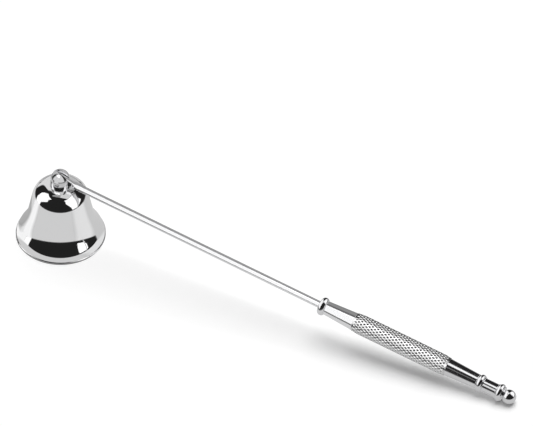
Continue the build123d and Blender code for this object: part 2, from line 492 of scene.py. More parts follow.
def box_cutter(low, high):
    """A box between two corners."""
    mesh = new_mesh("cutter")
    with editing(mesh) as shape:
        bmesh.ops.create_cube(shape, size=1.0)
    size = high - low
    return add_piece(mesh, None, Matrix.Translation((low + high) / 2) @ Matrix.Diagonal((*size, 1.0)))


def pin_cutter(start, end, radius):
    """A cylinder along the rivet's axis."""
    runs = legs((start, 0), (start, radius), (end, radius), (end, 0))
    return add_piece(turned("cutter", runs, HOLE_STEPS), None, ON_PIN)


def ready(piece, body, slot, *nodes):
    """The piece rides on its body and stands for its solids, which are hidden. The slot is not used."""
    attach(piece, body)
    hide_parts(*nodes)


# Node trees


def operator_pair(operation):
    """An operator and its reflected form, which add the same Math node."""
    def plain(self, other):
        return self.tree.math(operation, self, other)

    def reflected(self, other):
        return self.tree.math(operation, other, self)

    return plain, reflected


class Value:
    """A socket that takes part in sums. Each operator adds its Math node."""

    def __init__(self, tree, socket):
        self.tree = tree
        self.socket = socket

    __add__, __radd__ = operator_pair("ADD")
    __sub__, __rsub__ = operator_pair("SUBTRACT")
    __mul__, __rmul__ = operator_pair("MULTIPLY")
    __truediv__, __rtruediv__ = operator_pair("DIVIDE")
    __mod__, __rmod__ = operator_pair("MODULO")
    __lt__, __gt__ = operator_pair("LESS_THAN")

    def ramp(self, low, high, to_low=0.0, to_high=1.0):
        """Maps a range to another in a soft S, and clamps it."""
        sockets = {"Value": self, "From Min": low, "From Max": high, "To Min": to_low, "To Max": to_high}
        return self.tree.add("ShaderNodeMapRange", {"interpolation_type": "SMOOTHSTEP"}, sockets)


class Tree:
    """Adds nodes to a node tree."""

    def __init__(self, node_tree):
        self.node_tree = node_tree

    def add(self, kind, settings=None, sockets=None, output=0):
        """Adds a node: its settings first, then the values or links of its sockets."""
        node = self.node_tree.nodes.new(kind)
        for name, value in (settings or {}).items():
            setattr(node, name, value)
        for name, value in (sockets or {}).items():
            if isinstance(value, Value):
                self.node_tree.links.new(value.socket, node.inputs[name])
            else:
                node.inputs[name].default_value = value
        return Value(self, node.outputs[output]) if node.outputs else None

    def other(self, value, output):
        """Another output of the node that a value comes from."""
        return Value(self, value.socket.node.outputs[output])

    def math(self, operation, *terms):
        """A Math node."""
        return self.add("ShaderNodeMath", {"operation": operation}, dict(enumerate(terms)))

    def mix(self, factor, low, high):
        """A mix of two colours, whose sockets go by number because others have the same names."""
        return self.add("ShaderNodeMix", {"data_type": "RGBA"}, {0: factor, 6: low, 7: high}, 2)

    def vector(self, x=0.0, y=0.0, z=0.0):
        """A vector of three parts."""
        return self.add("ShaderNodeCombineXYZ", None, {"X": x, "Y": y, "Z": z})

    def parts(self, vector):
        """The three parts of a vector."""
        x = self.add("ShaderNodeSeparateXYZ", None, {"Vector": vector})
        return x, self.other(x, "Y"), self.other(x, "Z")

    def place(self):
        """The place on the object."""
        return self.add("ShaderNodeTexCoord", None, None, "Object")

    def noise(self, place, scale, detail=1.0):
        """Soft noise at a scale in features for each metre."""
        return self.add("ShaderNodeTexNoise", None, {"Vector": place, "Scale": scale, "Detail": detail})

    def stored(self, name, output="Fac"):
        """What an attribute of the mesh says."""
        return self.add("ShaderNodeAttribute", {"attribute_name": name}, None, output)

    def relief(self, height, depth, below=None):
        """The normal of a relief of this depth, on top of a coarser one."""
        sockets = {"Strength": 1.0, "Distance": depth, "Height": height}
        return self.add("ShaderNodeBump", None, sockets | ({"Normal": below} if below else {}))

    def emission(self, strength, colour=WHITE):
        """A light of its own."""
        return self.add("ShaderNodeEmission", None, {"Color": colour, "Strength": strength})

    def surface(self, *shaders):
        """The material's surface: one shader, or the sum of two."""
        shader = shaders[0]
        if len(shaders) > 1:
            shader = self.add("ShaderNodeAddShader", None, dict(enumerate(shaders)))
        self.add("ShaderNodeOutputMaterial", None, {"Surface": shader})

    def metal(self, tint, roughness, normal):
        """The surface of bare or plated metal."""
        sockets = {"Base Color": tint, "Metallic": 1.0, "Roughness": roughness, "Normal": normal}
        self.surface(self.add("ShaderNodeBsdfPrincipled", None, sockets))


# Finishes

HAZE_RANGE = (0.42, 0.72)  # where the noise of the haze begins and is full
HAZE_DULLING = 1.7  # how much rougher the plating is in full haze
WAVE_DEPTH = 0.004 * MM
HAIR_DEPTH = 0.0002 * MM
SPUN_DEPTH = 0.01 * MM
SPUN_LINES = 9000.0  # spinning lines on the bell's inside for each metre of its height
KNURL_GRAIN_DEPTH = 0.012 * MM
KNURL_GRAIN_ROUGHNESS = 0.05
STEEL_GRAIN_DEPTH = 0.01 * MM
STEEL_CLOUD_ROUGHNESS = 0.12
RIDGE_END = 0.35  # how far down into a pit, as a share of its depth, the plating stays bright before the painted pit shade sets in


def emptied(data):
    """A new material or world, and its empty tree."""
    data.use_nodes = True
    data.node_tree.nodes.clear()
    return data, Tree(data.node_tree)


def rgba(value, scale=1.0):
    """A colour with its alpha."""
    return (value[0] * scale, value[1] * scale, value[2] * scale, 1.0)


def plating(tree, place, finish, wave_scale, haze_scale):
    """What mirror plating has: haze in patches, its roughness, and the relief of faint waves."""
    haze = tree.noise(place, haze_scale, detail=3.0)
    rough = haze.ramp(*HAZE_RANGE, finish.chrome_roughness, finish.chrome_roughness * HAZE_DULLING)
    return haze, rough, tree.relief(tree.noise(place, wave_scale), WAVE_DEPTH)


def polished_chrome(finish):
    """Mirror plating: faint waves from buffing, hair scratches, and a breath of haze in patches."""
    made = bpy.data.materials.get("polished_chrome")
    if made:
        return made
    material, tree = emptied(bpy.data.materials.new("polished_chrome"))
    place = tree.place()
    haze, rough, waves = plating(tree, place, finish, wave_scale=90.0, haze_scale=260.0)
    along_hairs = tree.add("ShaderNodeMapping", None, {"Vector": place, "Scale": (2600.0, 700.0, 5200.0)})
    hairs = tree.noise(along_hairs, scale=1.0, detail=2.0)
    tint = tree.mix(haze, rgba(finish.chrome_colour), rgba(finish.chrome_colour, scale=0.97))
    tree.metal(tint, rough, tree.relief(hairs, HAIR_DEPTH, waves))
    return material


def bell_chrome(finish):
    """Mirror plating outside, and a spun, duller inside."""
    material, tree = emptied(bpy.data.materials.new("bell_chrome"))
    place = tree.place()
    _, rough, waves = plating(tree, place, finish, wave_scale=70.0, haze_scale=240.0)
    inside = tree.stored("inside")
    spun = tree.noise(tree.vector(z=tree.parts(place)[2] * SPUN_LINES), scale=1.0, detail=3.0)
    tint = tree.mix(inside, rgba(finish.chrome_colour), rgba(finish.chrome_colour, scale=0.82))
    rough = rough + inside * (finish.inside_roughness + spun * finish.inside_roughness)
    tree.metal(tint, rough, tree.relief(spun * inside, SPUN_DEPTH, waves))
    return material


def knurled_chrome(finish):
    """Bright plating on the ridges, duller down in the pits, where painted shade darkens the colour nearly
    to black.
    """
    material, tree = emptied(bpy.data.materials.new("knurled_chrome"))
    high = tree.stored("pressed").ramp(RIDGE_END, 1.0, 1.0, 0.0)
    grain = tree.noise(tree.place(), scale=1500.0, detail=3.0)
    # the pits take the painted shade colour, and the ridges keep the plating's own colour
    tint = tree.mix(high, rgba(finish.pit_shade_colour), rgba(finish.chrome_colour, scale=0.97))
    rough = finish.pit_roughness - high * finish.ridge_polish + grain * KNURL_GRAIN_ROUGHNESS
    tree.metal(tint, rough, tree.relief(grain, KNURL_GRAIN_DEPTH))
    return material


def zinc_steel(finish):
    """Zinc-plated steel with a fine grain."""
    material, tree = emptied(bpy.data.materials.new("zinc_steel"))
    place = tree.place()
    grain = tree.noise(place, scale=2200.0, detail=4.0)
    cloud = tree.noise(place, scale=400.0, detail=2.0)
    tint = tree.mix(cloud, rgba(finish.steel_colour), rgba(finish.steel_colour, scale=0.84))
    rough = finish.steel_roughness + cloud * STEEL_CLOUD_ROUGHNESS
    tree.metal(tint, rough, tree.relief(grain, STEEL_GRAIN_DEPTH))
    return material


# Bell

LIP_ROOT_SHARE = 0.5  # rounding of the inner corner beside the bead, as a share of the rim's edges
LEVEL_DIGITS = 7  # digits, of a height in metres, to which two runs end at one level


def bell_section(settings):
    """The bell's half section: outside, bead and inside, by depth below the top and radius."""
    corners = [Vector((0.0, settings.hole_radius))]
    for radius_share, height_share in (settings.crown, settings.shoulder, settings.waist, settings.skirt):
        corners.append(Vector((BELL_HEIGHT * (1 - height_share), RIM_RADIUS * radius_share)))
    corners.append(Vector((BELL_HEIGHT, RIM_RADIUS - settings.lip_proud)))
    shares = (settings.crown_round, settings.shoulder_round, settings.waist_round, settings.skirt_round)
    rounds = [RIM_RADIUS * value for value in shares]
    lip_share = settings.lip_height / (BELL_HEIGHT - corners[-2].x)
    lip_root = corners[-1].lerp(corners[-2], lip_share)
    lip_top = BELL_HEIGHT - settings.lip_height

    inner, inner_rounds = [], []
    for before, point, after, radius in zip(corners, corners[1:], corners[2:], rounds):
        into, out = (point - before).normalized(), (after - point).normalized()
        bisector = (left_of(into) + left_of(out)).normalized()
        inner.append(point - bisector * (settings.wall / bisector.dot(left_of(out))))
        convex = into.x * out.y - into.y * out.x < 0
        inner_rounds.append(radius - settings.wall if convex else radius + settings.wall)
    last_leg = (corners[-1] - corners[-2]).normalized()
    inner_end = corners[-1] - Vector((0, settings.wall / last_leg.x))
    inner_start = Vector((settings.wall, settings.hole_radius))

    outer_points = corners[:-1] + [lip_root, (lip_top, RIM_RADIUS), (BELL_HEIGHT, RIM_RADIUS)]
    points = outer_points + [inner_end] + inner[::-1] + [inner_start]
    edge = settings.lip_edge_round
    lip_rounds = [edge * LIP_ROOT_SHARE, settings.lip_top_round, edge, edge]
    return closed(rounded(points, rounds + lip_rounds + inner_rounds[::-1]))


class SNUFFER_OT_bell(Operator):
    """Makes the bell: a spun shell with a bead round its rim"""

    bl_idname = "snuffer.bell"
    bl_label = "Make the Bell"

    def execute(self, context):
        settings = context.scene.snuffer
        runs = bell_section(settings.bell)
        mesh = turned("bell_shell", runs, BELL_STEPS)
        lowest = max(range(len(runs)), key=lambda k: (round(runs[k][2].x, LEVEL_DIGITS), -runs[k][2].y))
        mark_inside(mesh, [float(k > lowest) for k in range(len(runs)) for _ in range(BELL_STEPS)])
        bell = add_piece(mesh, bell_chrome(settings.finish), ON_BELL)
        ready(bell, "bell_head", "polished_chrome", "bell")
        return {"FINISHED"}


# Post and rivet

ON_SKIN = 0.97  # points past this share of the post's radius are on its dome or side
FACING_SKIN = 0.97  # a face there is curved where its normal agrees with the true one to this cosine
PAST_POST = 1.5  # how far the cutters reach, as a share of the post's radius
STUD_ROOT_SHARE = 0.25  # rounding of the corner between stud and foot, as a share of the foot's edge


def post_normal(point):
    """The true normal of the post's dome and side, or None where a face is flat."""
    away = point - PIVOT
    flat = Vector((away.x, away.y, 0))
    if away.z > 0 and away.length > POST_RADIUS * ON_SKIN:
        return away.normalized()
    if flat.length > POST_RADIUS * ON_SKIN:
        return flat.normalized()
    return None


def set_post_normals(mesh):
    """Gives the cut post its true normals."""
    normals = []
    for face in mesh.polygons:
        true = post_normal(face.center)
        curved = true is not None and true.dot(face.normal) > FACING_SKIN
        for index in face.vertices:
            point_normal = post_normal(mesh.vertices[index].co) if curved else None
            normals.append(point_normal if point_normal is not None else face.normal.copy())
    mesh.shade_smooth()
    mesh.normals_split_custom_set(normals)


class SNUFFER_OT_post(Operator):
    """Makes the slotted post and the rivet across it"""

    bl_idname = "snuffer.post"
    bl_label = "Make the Post and Rivet"

    def execute(self, context):
        settings = context.scene.snuffer
        chrome = polished_chrome(settings.finish)
        seat = rivet_high.y - settings.post.head_height
        self.make_post(settings.post, seat, chrome)
        self.make_rivet(settings.post, seat, chrome)
        return {"FINISHED"}

    def make_post(self, settings, seat, chrome):
        """The post: stud, foot, side and dome, with its slot, its hole and the seats of the rivet."""
        stud, stud_end, foot = settings.stud_radius, post_low.z - PIVOT.z, BELL_HEIGHT - PIVOT.z
        corners = [(stud_end, 0), (stud_end, stud), (foot, stud), (foot, POST_RADIUS), (0, POST_RADIUS)]
        edge = settings.foot_round
        runs = rounded(corners, [edge, edge * STUD_ROOT_SHARE, edge])
        runs += about((0, 0), (0, POST_RADIUS), (POST_RADIUS, 0))
        piece = add_piece(turned("slotted_post", runs, POST_STEPS), chrome, ON_POST)
        beyond, half = POST_RADIUS * PAST_POST, settings.slot_width / 2
        slot_low, slot_high = Vector((-beyond, -half, -settings.slot_depth)), Vector((beyond, half, beyond))
        seat_radius = RIVET_RADIUS + settings.head_clearance
        cut(piece, [
            box_cutter(PIVOT + slot_low, PIVOT + slot_high),
            pin_cutter(-beyond, beyond, settings.pin_radius),
            pin_cutter(seat, beyond, seat_radius),
            pin_cutter(-beyond, -seat, seat_radius),
        ])
        set_post_normals(piece.data)
        ready(piece, "bell_head", "polished_chrome", "pivot_post")

    def make_rivet(self, settings, seat, chrome):
        """The rivet: a shank between two domed heads."""
        end, pin, height = rivet_high.y, settings.pin_radius, settings.head_height
        dome_radius = (RIVET_RADIUS**2 + height**2) / (2 * height)
        runs = about((dome_radius - end, 0), (-end, 0), (-seat, RIVET_RADIUS))
        runs += legs((-seat, RIVET_RADIUS), (-seat, pin), (seat, pin), (seat, RIVET_RADIUS))
        runs += about((end - dome_radius, 0), (seat, RIVET_RADIUS), (end, 0))
        piece = add_piece(turned("domed_rivet", runs, RIVET_STEPS), chrome, ON_PIN)
        ready(piece, "bell_head", "polished_chrome", "pivot_rivet")


# Rod

EYE_STATIONS, TONGUE_STATIONS, SHANK_STATIONS = 24, 40, 12  # outlines along each stretch of the rod
EYE_TURN = 95  # how far round the eye, in degrees, its own outlines go
TONGUE_START = 0.6 * MM  # from the pivot to the first outline after the eye's
TAPER_MARGIN = 1.0 * MM  # how far the close outlines go on past the taper
ROUND_POWER = 2.0  # power of a round outline
ROD_BEND = 42  # edges of the rod that bend more than this, in degrees, are sharp


def rod_station(settings, distance):
    """Half the height, half the thickness and the power of the rod's outline, at a distance."""
    eye, radius = settings.eye_radius, settings.radius
    slope = math.asin((eye - radius) / settings.tongue_length)
    first, last = eye * math.sin(slope), settings.tongue_length + radius * math.sin(slope)
    if distance < first:
        half_height = math.sqrt(max(0.0, eye**2 - distance**2))
    elif distance < last:
        half_height = eye * math.cos(slope) - (distance - first) * math.tan(slope)
    else:
        half_height = radius
    part = clamp((distance - settings.tongue_length) / settings.tongue_taper)
    soft = part * part * (3 - 2 * part)
    half_thickness = settings.tongue_thickness / 2 * (1 - soft) + radius * soft
    return half_height, half_thickness, settings.flatness * (1 - soft) + ROUND_POWER * soft


def rod_mesh(settings):
    """The rod: flattened eye, taper, round shank and the thinner tie."""
    tie, rod_end = settings.tie_radius, rod_span("snuffer_rod")[1]
    taper_end = settings.tongue_length + settings.tongue_taper
    bead_start = rod_span("front_collar")[0]
    shank_end = bead_start + settings.socket_depth
    eye_turns = np.radians(np.linspace(0, EYE_TURN, EYE_STATIONS))
    distances = [-settings.eye_radius * math.cos(turn) for turn in eye_turns]
    distances += [*np.linspace(TONGUE_START, taper_end + TAPER_MARGIN, TONGUE_STATIONS)]
    distances += [*np.linspace(taper_end + 2 * TAPER_MARGIN, bead_start, SHANK_STATIONS), shank_end]
    stations = [(distance, *rod_station(settings, distance)) for distance in distances]
    for distance, radius in ((shank_end, tie), (rod_end, tie), (rod_end, 0.0)):
        stations.append((distance, radius, radius, ROUND_POWER))
    vertices = []
    for distance, half_height, half_thickness, power in stations:
        for c, s in circle(ROD_STEPS):
            up = half_height * math.copysign(abs(c) ** (2 / power), c)
            side = half_thickness * math.copysign(abs(s) ** (2 / power), s)
            vertices.append((distance, side, up))
    mesh = new_mesh("flattened_rod", vertices, faces_between(len(stations), ROD_STEPS, joined=True))
    with editing(mesh) as shape:
        bmesh.ops.remove_doubles(shape, verts=shape.verts, dist=TOUCHING)
        bmesh.ops.recalc_face_normals(shape, faces=shape.faces)
    return mesh


class SNUFFER_OT_rod(Operator):
    """Makes the rod with its flattened eye"""

    bl_idname = "snuffer.rod"
    bl_label = "Make the Rod"

    def execute(self, context):
        settings = context.scene.snuffer
        piece = add_piece(rod_mesh(settings.rod), polished_chrome(settings.finish), ON_ROD)
        reach = settings.rod.tongue_thickness
        cut(piece, [pin_cutter(-reach, reach, settings.post.pin_radius + settings.rod.running_clearance)])
        smooth_below(piece.data, ROD_BEND)
        ready(piece, "handle", "polished_chrome", "snuffer_rod")
        return {"FINISHED"}


# Turned handle pieces: each section goes from start to end, and has its largest radius at its crest.


def cone_section(start, end, crest, settings, front=None, rear=None):
    """A cone or cylinder with rounded edges, bored through. An end with no radius given has the crest's."""
    bore, edge = settings.handle.bore_radius, settings.handle.edge_round
    corners = [(start, bore + edge), (start, front or crest), (end, rear or crest), (end, bore + edge)]
    return bored(rounded(corners, [edge, edge]), bore)


def ring_section(start, end, crest, settings):
    """A rounded ring between two small steps, bored through."""
    bore, edge = settings.handle.bore_radius, settings.handle.edge_round
    step, low = settings.handle.ring_step_length, settings.handle.ring_step_radius
    front = rounded([(start, bore + edge), (start, low), (start + step, low)], [edge])
    swell = through((start + step, low), ((start + end) / 2, crest), (end - step, low))
    rear = rounded([(end - step, low), (end, low), (end, bore + edge)], [edge])
    return bored(front + swell + rear, bore)


def bead_section(start, end, crest, settings):
    """The rounded bead, with a wider bore in front for the rod."""
    handle, socket = settings.handle, start + settings.rod.socket_depth
    face, bore, rod_bore = handle.bead_face_radius, handle.bore_radius, handle.rod_bore_radius
    swell = through((start, face), ((start + end) / 2, crest), (end, face))
    inside = legs((end, face), (end, bore), (socket, bore), (socket, rod_bore), (start, rod_bore))
    return closed(swell + inside)


def ball_section(start, _end, _crest, settings):
    """The ball with its short neck, bored from the front. Its end and its crest follow from its centre."""
    bore, neck = settings.handle.bore_radius, settings.handle.ball_neck_radius
    centre = (BALL_CENTRE - PIVOT).length
    neck_end = centre - math.sqrt(BALL_RADIUS**2 - neck**2)
    bore_end = start + settings.handle.ball_bore_depth
    runs = legs((bore_end, 0), (bore_end, bore), (start, bore), (start, neck), (neck_end, neck))
    runs += about((centre, 0), (neck_end, neck), (centre, BALL_RADIUS))
    return runs + about((centre, 0), (centre, BALL_RADIUS), (centre + BALL_RADIUS, 0))


class SNUFFER_OT_handle(Operator):
    """Makes the bead, the neck, the tail cone, the rings, the spacer and the ball"""

    bl_idname = "snuffer.handle"
    bl_label = "Make the Turned Pieces"

    def execute(self, context):
        settings = context.scene.snuffer
        chrome = polished_chrome(settings.finish)
        for node, name, section, radii in (
            ("front_collar", "rod_bead", bead_section, {}),
            ("grip_neck", "smooth_neck", cone_section, {"front": settings.handle.neck_front_radius}),
            ("tail_cone", "tail_taper", cone_section, {"rear": settings.handle.tail_rear_radius}),
            ("front_tail_ring", "tail_bead_front", ring_section, {}),
            ("tail_spacer", "tail_sleeve", cone_section, {}),
            ("rear_tail_ring", "tail_bead_rear", ring_section, {}),
            ("ball_finial", "tail_ball", ball_section, {}),
        ):
            runs = section(*rod_span(node), settings, **radii)
            piece = add_piece(turned(name, runs, HANDLE_STEPS), chrome, ON_ROD)
            ready(piece, "handle", "polished_chrome", node)
        return {"FINISHED"}


# Knurled grip

SOCKET_KINDS = {float: "NodeSocketFloat", int: "NodeSocketInt", Material: "NodeSocketMaterial"}
PIT_SEGMENTS = 6  # rings of faces down a pit's side
PRESS_RANGE = (0.18, 0.82)  # heights of the flat diamond between which its side is pressed in
FACING_DOWN = -0.5  # a face whose normal points lower than this is the base of a diamond
NUDGE = 0.0001  # keeps a whole number from falling below itself when it is rounded down
GRIP_BEND = 60  # edges of the grip that bend more than this, in degrees, are sharp


def knurl_tree(values):
    """Diamonds in half-offset rows on a flat sheet, then pressed into pits and wrapped round the axis."""
    group = bpy.data.node_groups.new("diamond_knurl", "GeometryNodeTree")
    group.interface.new_socket("Geometry", in_out="OUTPUT", socket_type="NodeSocketGeometry")
    for name, value in values.items():
        group.interface.new_socket(name, in_out="INPUT", socket_type=SOCKET_KINDS[type(value)])
    tree = Tree(group)
    first = tree.add("NodeGroupInput")
    given = {name: tree.other(first, name) for name in values}
    start, end, crest, end_round = given["Start"], given["End"], given["Crest Radius"], given["End Round"]
    rows, columns = given["Rows"], given["Columns"]

    half_pitch = (end - start) / (rows - 1)
    width = crest * math.tau / columns
    index = tree.add("GeometryNodeInputIndex")
    row = tree.math("FLOOR", index / columns + NUDGE)
    column = index - row * columns
    seat = tree.vector(start + row * half_pitch, (column + row % 2 * 0.5) * width)
    points = tree.add("GeometryNodePoints", None, {"Count": rows * columns, "Position": seat})

    cone = {"Vertices": 4, "Side Segments": PIT_SEGMENTS, "Depth": 1.0}
    cone |= {"Radius Top": given["Pit Floor"], "Radius Bottom": 1.0}
    diamond = tree.add("GeometryNodeMeshCone", {"fill_type": "TRIANGLE_FAN"}, cone)
    base_face = tree.parts(tree.add("GeometryNodeInputNormal"))[2] < FACING_DOWN
    removed = {"Geometry": diamond, "Selection": base_face}
    diamond = tree.add("GeometryNodeDeleteGeometry", {"domain": "FACE"}, removed)
    placed = {"Points": points, "Instance": diamond, "Scale": tree.vector(half_pitch, width / 2, 1.0)}
    sheet = tree.add("GeometryNodeInstanceOnPoints", None, placed)
    sheet = tree.add("GeometryNodeRealizeInstances", None, {"Geometry": sheet})
    along, around, height = tree.parts(tree.add("GeometryNodeInputPosition"))
    removed = {"Geometry": sheet, "Selection": tree.math("MAXIMUM", along < start, along > end)}
    sheet = tree.add("GeometryNodeDeleteGeometry", {"domain": "FACE"}, removed)

    inward = tree.math("MINIMUM", along - start, end - along)
    pressed = height.ramp(*PRESS_RANGE) * inward.ramp(0.0, given["End Fade"])
    inset = end_round - tree.math("MINIMUM", inward, end_round)
    bulge = tree.math("SQRT", tree.math("MAXIMUM", end_round * end_round - inset * inset, 0.0))
    fall = inward.ramp(0.0, given["End Length"], given["End Fall"], 0.0)
    radius = crest - end_round + bulge - fall - pressed * given["Pit Depth"]
    turn = around / crest
    wrapped = tree.vector(along, radius * tree.math("COSINE", turn), radius * tree.math("SINE", turn))
    marked = {"Geometry": sheet, "Name": "pressed", "Value": pressed}
    skin = tree.add("GeometryNodeStoreNamedAttribute", {"data_type": "FLOAT", "domain": "POINT"}, marked)
    skin = tree.add("GeometryNodeSetPosition", None, {"Geometry": skin, "Position": wrapped})
    skin = tree.add("GeometryNodeMergeByDistance", None, {"Geometry": skin, "Distance": MERGING})
    skin = tree.add("GeometryNodeRealizeInstances", None, {"Geometry": skin})
    skin = tree.add("GeometryNodeSetMaterial", None, {"Geometry": skin, "Material": given["Material"]})
    tree.add("NodeGroupOutput", None, {"Geometry": skin})
    return group


def close_ends(mesh, bore_radius):
    """Closes the knurled skin with two end faces and a bore."""
    with editing(mesh) as shape:
        rim = [edge for edge in shape.edges if edge.is_boundary]
        grown = bmesh.ops.extrude_edge_only(shape, edges=rim)
        for item in grown["geom"]:
            if isinstance(item, bmesh.types.BMVert):
                shrink = bore_radius / math.hypot(item.co.y, item.co.z)
                item.co.y *= shrink
                item.co.z *= shrink
        bmesh.ops.bridge_loops(shape, edges=[edge for edge in shape.edges if edge.is_boundary])
        bmesh.ops.recalc_face_normals(shape, faces=shape.faces)


class SNUFFER_OT_knurl(Operator):
    """Makes the grip with its diamond knurl"""

    bl_idname = "snuffer.knurl"
    bl_label = "Make the Knurled Grip"

    def execute(self, context):
        settings = context.scene.snuffer
        material = knurled_chrome(settings.finish)
        values = dict(zip(("Start", "End", "Crest Radius"), rod_span("knurled_grip")), Material=material)
        for name in setting_names(settings.knurl):
            values[name.replace("_", " ").title()] = getattr(settings.knurl, name)
        grip = add_piece(new_mesh("knurled_sleeve"), material)
        modifier = grip.modifiers.new("knurl", "NODES")
        modifier.node_group = knurl_tree(values)
        for item in modifier.node_group.interface.items_tree:
            if item.in_out == "INPUT":
                modifier[item.identifier] = values[item.name]
        settle(grip)
        close_ends(grip.data, settings.handle.bore_radius)
        grip.data.transform(ON_ROD)
        smooth_below(grip.data, GRIP_BEND)
        ready(grip, "handle", "knurled_chrome", "knurled_grip")
        return {"FINISHED"}


# Washer and nut


class SNUFFER_OT_fastening(Operator):
    """Gives the washer and the nut inside the bell their finish"""

    bl_idname = "snuffer.fastening"
    bl_label = "Finish the Washer and Nut"

    def execute(self, context):
        steel = zinc_steel(context.scene.snuffer.finish)
        for node in ("crown_washer", "crown_nut"):
            solid = frame["nodes"][node]
            solid.data.materials.clear()
            solid.data.materials.append(steel)
        return {"FINISHED"}


# Stage. Each group of cards and pools stands round one place and is mirrored only by its own pieces: they
# are painted reflections.


def on_rod(node, end):
    """The place on the rod's axis where a node starts (0) or ends (1)."""
    return PIVOT + ROD_DIRECTION * rod_span(node)[end]


GROUPS = {
    "bell": ((BELL_FOOT + BELL_TOP) / 2, ("bell_shell",)),
    "post": (PIVOT, ("slotted_post", "domed_rivet")),
    "rod": (on_rod("grip_neck", 0), ("flattened_rod",)),
    "knurl": ((on_rod("knurled_grip", 0) + on_rod("knurled_grip", 1)) / 2, ("knurled_sleeve",)),
    "neck": (on_rod("grip_neck", 1), ("smooth_neck",)),
    "bead": (on_rod("front_collar", 0), ("rod_bead",)),
    "taper": (on_rod("tail_cone", 1), ("tail_taper",)),
    "sleeve": (on_rod("tail_spacer", 0), ("tail_sleeve",)),
    "ball": (BALL_CENTRE, ("tail_bead_front", "tail_bead_rear", "tail_ball")),
}
NO_KEY_SHADOW = ("bell", "post")  # groups that the main lamp shines through

# Cards on a sphere, each a painted reflection: name, azimuths from the camera's (at the lower and then at
# the upper edge, where they differ), elevations, brightness and the width of the soft border. All angles
# are in degrees.

BEAD_CARDS = (
    ("left", (-168, -50), (0, 66), 1.1, 4),
    ("top", (-180, -60), (66, 90), 1.0, 4),
    ("right", (74, 150), (3, 66), 1.1, 4),
    ("back", (100, 180), (60, 90), 0.7, 6),
)
CARDS = {
    "bell": (
        ("left_window", (-112, -84, -122, -63), (18, 60), 1.15, 0),
        ("left_window_foot", (-102, -82, -112, -84), (-6, 18), 1.15, 0),
        ("right_window", (43, 96, 29, 98), (22, 65), 1.15, 0),
        ("right_window_foot", (45, 62, 43, 96), (3, 22), 1.15, 0),
        ("left_wall", (-180, -136, -180, -152), (-4, 56), 0.74, 3),
        ("right_wall", (126, 180, 140, 180), (-4, 56), 0.52, 6),
        ("back_wall", (115, 200, 140, 200), (56, 66), 0.6, 2),
        ("left_ceiling", (-180, -110), (70, 90), 0.3, 0),
        ("right_ceiling", (60, 180), (66, 90), 0.66, 0),
    ),
    "post": (
        ("front", (-92, 50), (-30, 90), 0.7, 8),
        ("light", (-100, -8), (48, 84), 1.0, 6),
        ("back", (70, 250), (-20, 80), 0.5, 8),
    ),
    "rod": (
        ("light", (-135, 14), (-3, 90), 1.1, 0),
        ("top", (-180, 180), (76, 90), 1.0, 3),
        ("back", (140, 220), (-3, 58), 0.36, 3),
        ("line", (140, 220), (58, 76), 0.32, 0),
        ("right", (20, 130), (-3, 70), 1.0, 6),
    ),
    "knurl": (
        ("light", (-135, 14), (40, 90), 1.3, 0),
        ("low_light", (-135, 14), (14, 40), 0.95, 0),
        ("top", (-180, 180), (70, 90), 1.1, 3),
        ("back", (140, 220), (-3, 70), 0.06, 3),
        ("right", (20, 100), (3, 70), 1.0, 6),
    ),
    "neck": (
        ("light", (-135, 14), (0, 90), 1.1, 0),
        ("top", (-180, 180), (76, 90), 1.0, 3),
        ("back", (140, 220), (-3, 60), 0.28, 3),
        ("line", (140, 220), (60, 76), 0.13, 0),
        ("right", (20, 130), (-3, 70), 1.0, 6),
    ),
    "bead": BEAD_CARDS,
    "taper": (
        ("top", (-180, 180), (73, 90), 1.1, 5),
        ("light", (-165, -42), (0, 60), 1.1, 3),
        ("strip", (-42, -20), (36, 48), 0.2, 3),
        ("right", (70, 150), (3, 75), 1.1, 5),
    ),
    "sleeve": (
        ("top", (-180, 180), (73, 90), 1.1, 5),
        ("light", (-165, -44), (0, 60), 1.1, 3),
        ("strip", (-48, -27), (24, 58), 0.9, 8),
        ("right", (70, 150), (3, 75), 1.1, 5),
    ),
    "ball": BEAD_CARDS,
}

# Painted light pools just above the floor, seen only as painted reflections in the metal: name, azimuths
# from the camera's in degrees, distances in millimetres, stretch along the rod, brightness and the soft
# border as a share of the pool.

POOLS = {
    "bell": (
        ("front", (-90, 50), (19.8, 260), 1, 0.55, 0.09),
        ("left", (-113, -78), (18, 300), 1, 0.88, 0.3),
        ("right", (38, 98), (18, 300), 1, 0.7, 0.2),
        ("right_back", (86, 186), (18, 200), 1, 0.5, 0.12),
        ("left_back", (174, 258), (18, 200), 1, 0.33, 0.15),
        ("left_rear", (200, 256), (34, 200), 1, 0.26, 0.15),
    ),
    "post": (("floor", (-180, 180), (18, 120), 1, 0.45, 0.3),),
    "rod": (("floor", (-180, 180), (0, 62), 3, 0.6, 0.2),),
    "knurl": (("floor", (-180, 180), (0, 36), 2, 0.48, 0.2),),
    "neck": (("floor", (-180, 180), (0, 48), 2, 0.6, 0.1),),
    "bead": (("floor", (-180, 180), (0, 70), 1, 0.55, 0.3),),
    "taper": (("floor", (-180, 180), (0, 45), 2, 0.5, 0.3),),
    "sleeve": (("floor", (-180, 180), (0, 45), 2, 0.5, 0.3),),
    "ball": (("floor", (-180, 180), (0, 45), 1, 0.5, 0.3),),
}
CARD_STEP = 4  # size of a card's faces in degrees
POOL_GRID = (48, 24)  # faces round and across a pool
FULL_TURN, ZENITH = 360, 90
CLIP_END = 100.0  # metres; the camera stands far off behind its long lens


def direction(azimuth, elevation):
    """The direction at an azimuth about the vertical and an elevation above the level, in radians."""
    level = math.cos(elevation)
    return Vector((math.sin(azimuth) * level, -math.cos(azimuth) * level, math.sin(elevation)))


def between(pair, part):
    """The number at a share of the way from the first of a pair to the second."""
    return pair[0] + (pair[1] - pair[0]) * part


